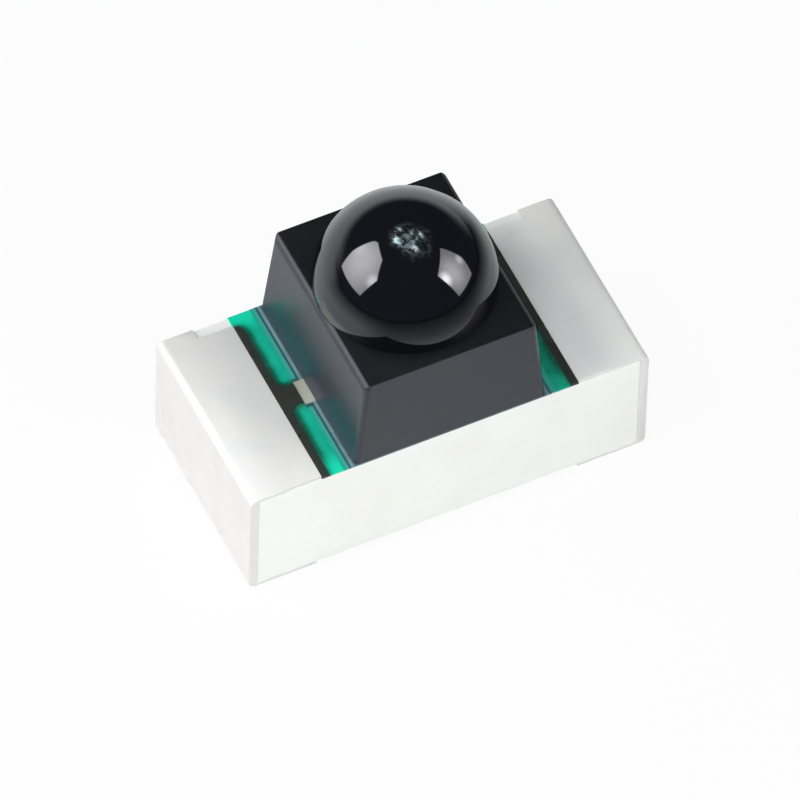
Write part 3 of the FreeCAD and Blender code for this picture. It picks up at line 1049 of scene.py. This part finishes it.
def placeCamera():
    right, up, back = viewAxes()
    half = camera["picture"] / 2
    data = bpy.data.cameras.new("photoCamera")
    data.lens = data.sensor_width * camera["distance"] * camera["scale"] / camera["picture"]
    data.clip_start = 0.005
    data.clip_end = 1.0
    eye = bpy.data.objects.new("photoCamera", data)
    scene.collection.objects.link(eye)
    aim = Vector((0, 0, camera["aimHeight"]))
    aim += right * (half - camera["centre"][0]) / camera["scale"]
    aim += up * (camera["centre"][1] - half) / camera["scale"]
    turned = Matrix((right, up, back)).transposed().to_4x4()
    eye.matrix_world = Matrix.Translation((aim + back * camera["distance"]) / 1000) @ turned
    scene.camera = eye


lamps = {
    # Direction from the lens, width and height at unit distance, distance in mm, brightness.
    "leftSoftbox": dict(aim=(-0.819, 0.184, 0.544), size=(0.96, 1.04), reach=20, glow=2.8),
    "rightSoftbox": dict(aim=(0.718, -0.507, 0.476), size=(0.68, 0.90), reach=26, glow=1.2),
    "overheadFill": dict(aim=(-0.15, 0.05, 0.98), size=(1.3, 1.3), reach=26, glow=0.76),
    "frontFill": dict(aim=(-0.15, -0.90, 0.42), size=(0.9, 0.9), reach=26, glow=2.55),
}


def addLamp(name, aim, size, reach, glow, seenBy="diffuse"):
    # An area lamp, square to the spot on the dome that mirrors it to the camera.
    towards = Vector(aim).normalized()
    across = Vector((0, 0, 1)).cross(towards).normalized()
    upward = towards.cross(across)
    reach = reach / 1000
    data = bpy.data.lights.new(name, "AREA")
    data.shape = "RECTANGLE"
    data.size = size[0] * reach
    data.size_y = size[1] * reach
    data.energy = glow * math.pi * data.size * data.size_y
    lamp = bpy.data.objects.new(name, data)
    scene.collection.objects.link(lamp)
    glint = (towards + viewAxes()[2]).normalized() * epoxy["domeRadius"] / 1000
    spot = Vector((0, 0, epoxy["blockTop"] / 1000)) + glint + towards * reach
    turned = Matrix((across, upward, towards)).transposed().to_4x4()
    lamp.matrix_world = Matrix.Translation(spot) @ turned
    lamp.visible_camera = False
    lamp.visible_diffuse = seenBy == "diffuse"
    lamp.visible_glossy = seenBy == "gloss"
    return data


cards = {
    # Cards that only reflections see: the light all over them, their outline as (across, up)
    # from 0 to 1, brighter spots as (across, up, reach, light) and how soft their edge is.
    # The noise and range of the patches break the light up.
    "leftCard": dict(
        aim=(-0.819, 0.184, 0.544), size=(1.04, 1.132), reach=19.5, glow=20,
        light=0.17,
        outline=[
            (0.883, 0.123), (0.919, 0.651), (0.581, 0.964), (0.103, 0.990),
            (0.025, 0.898), (0.010, 0.432), (0.093, 0.081),
        ],
        spots=[(0.35, 0.58, 0.75, 0.22), (0.86, 0.56, 0.22, 0.30), (0.06, 0.60, 0.25, 0.10)],
        tint=(1, 0.94, 0.93), edge=0.03,
    ),
    "rightCard": dict(
        aim=(0.718, -0.507, 0.476), size=(0.733, 0.968), reach=25.5, glow=20,
        light=0.13,
        outline=[(0.033, 0.797), (0.100, 0.010), (0.858, 0.017), (0.990, 0.401), (0.900, 0.980)],
        spots=[(0.42, 0.50, 0.55, 0.20), (0.13, 0.57, 0.26, 0.62), (0.86, 0.46, 0.16, 0.24)],
        tint=(1, 0.94, 0.93), edge=0.03,
    ),
    "windowCard": dict(
        aim=(0.207, 0.129, 0.970), size=(1.309, 1.030), reach=25.5, glow=20,
        light=0.02,
        outline=[
            (0.046, 0.522), (0.404, 0.010), (0.815, 0.150), (0.990, 0.450),
            (0.900, 0.850), (0.250, 0.980),
        ],
        spots=[
            (0.71, 0.66, 0.13, 0.70), (0.79, 0.45, 0.11, 0.50), (0.51, 0.34, 0.13, 0.55),
            (0.39, 0.64, 0.10, 0.45), (0.56, 0.60, 0.34, 0.16),
        ],
        tint=(0.80, 0.98, 1.0), edge=0.10,
        patches=(0.13, 3, 0.6, 0.8), patchRange=(0.42, 0.62, 0.05, 1.3),
    ),
}


def addCard(
    name, aim, size, reach, glow, outline, light, spots, tint, edge, patches=None, patchRange=None,
):
    paint = Paint(addLamp(name, aim, size, reach, glow, seenBy="gloss"))
    place = paint.add("ShaderNodeNewGeometry", out="Parametric")
    across = paint.axis(place, "X")
    upward = paint.axis(place, "Y")
    inward = None
    for (x, y), (nextX, nextY) in zip(outline, outline[1:] + outline[:1]):
        length = math.hypot(nextX - x, nextY - y)
        fromEdge = ((upward - y) * (nextX - x) - (across - x) * (nextY - y)) / length
        inward = inward.atMost(fromEdge) if inward else fromEdge
    strength = light
    for spotAcross, spotUp, spotReach, spotLight in spots:
        away = paint.add("ShaderNodeVectorMath", {"operation": "DISTANCE"}, {
            0: place, 1: (spotAcross, spotUp, 0),
        }, "Value")
        strength = paint.step(away, 0, spotReach, spotLight, 0) + strength
    if patches:
        strength = strength * paint.step(paint.noise(place, *patches), *patchRange)
    paint.surface(paint.add("ShaderNodeEmission", None, {
        "Color": (*tint, 1), "Strength": strength * paint.step(inward, 0, edge),
    }), "ShaderNodeOutputLight")


makeLaminate()
makeTerminals()
makeMasks()
makeLensBody()
dress("die_attach", adhesivePaint())
dress("phototransistor_die", diePaint())
dress("bond_wire", wirePaint())
dress("polarity_mark", inkMarkPaint())
makeFloor()
paintWorld()
for name, lamp in lamps.items():
    addLamp(name, **lamp)
for name, card in cards.items():
    addCard(name, **card)
placeCamera()
scene.view_settings.view_transform = "Standard"
print("stage, lamps and camera set")
